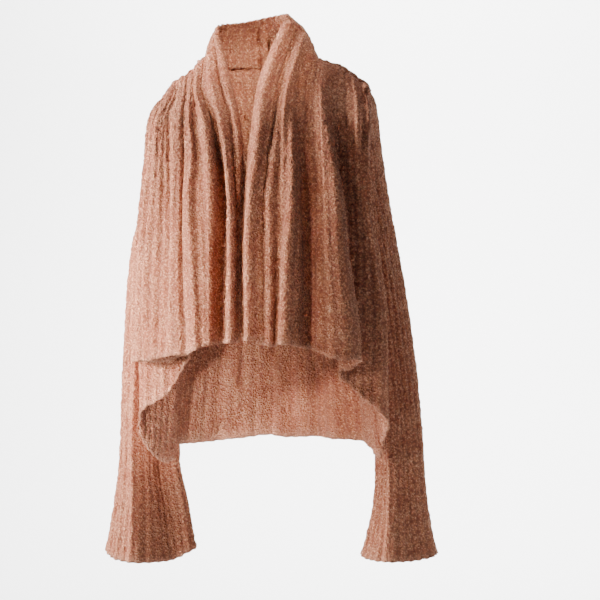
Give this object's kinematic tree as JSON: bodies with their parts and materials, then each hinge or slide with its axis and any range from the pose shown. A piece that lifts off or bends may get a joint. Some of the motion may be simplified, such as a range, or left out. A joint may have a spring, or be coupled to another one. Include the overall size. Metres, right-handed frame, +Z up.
{
  "type": "shawl cardigan",
  "caption": "Open, cropped waterfall cardigan in thick rib knit with a draped shawl collar, flared long sleeves and a longer back.",
  "frame": {"origin": "between the shoulders, at the height of the base of the neck, on the shoulder line", "axes": "+Z up, the front faces -Y, +X towards the wearer's left"},
  "size_m": [0.5517, 0.2876, 0.8946],
  "materials": {
    "back": "matte",
    "front_right": "matte",
    "front_left": "matte",
    "collar": "matte",
    "sleeve_right": "matte",
    "sleeve_left": "matte"
  },
  "bodies": {
    "root": {"back": "back", "front_right": "front_right", "front_left": "front_left", "collar": "collar", "sleeve_right": "sleeve_right", "sleeve_left": "sleeve_left"}
  },
  "joints": []
}
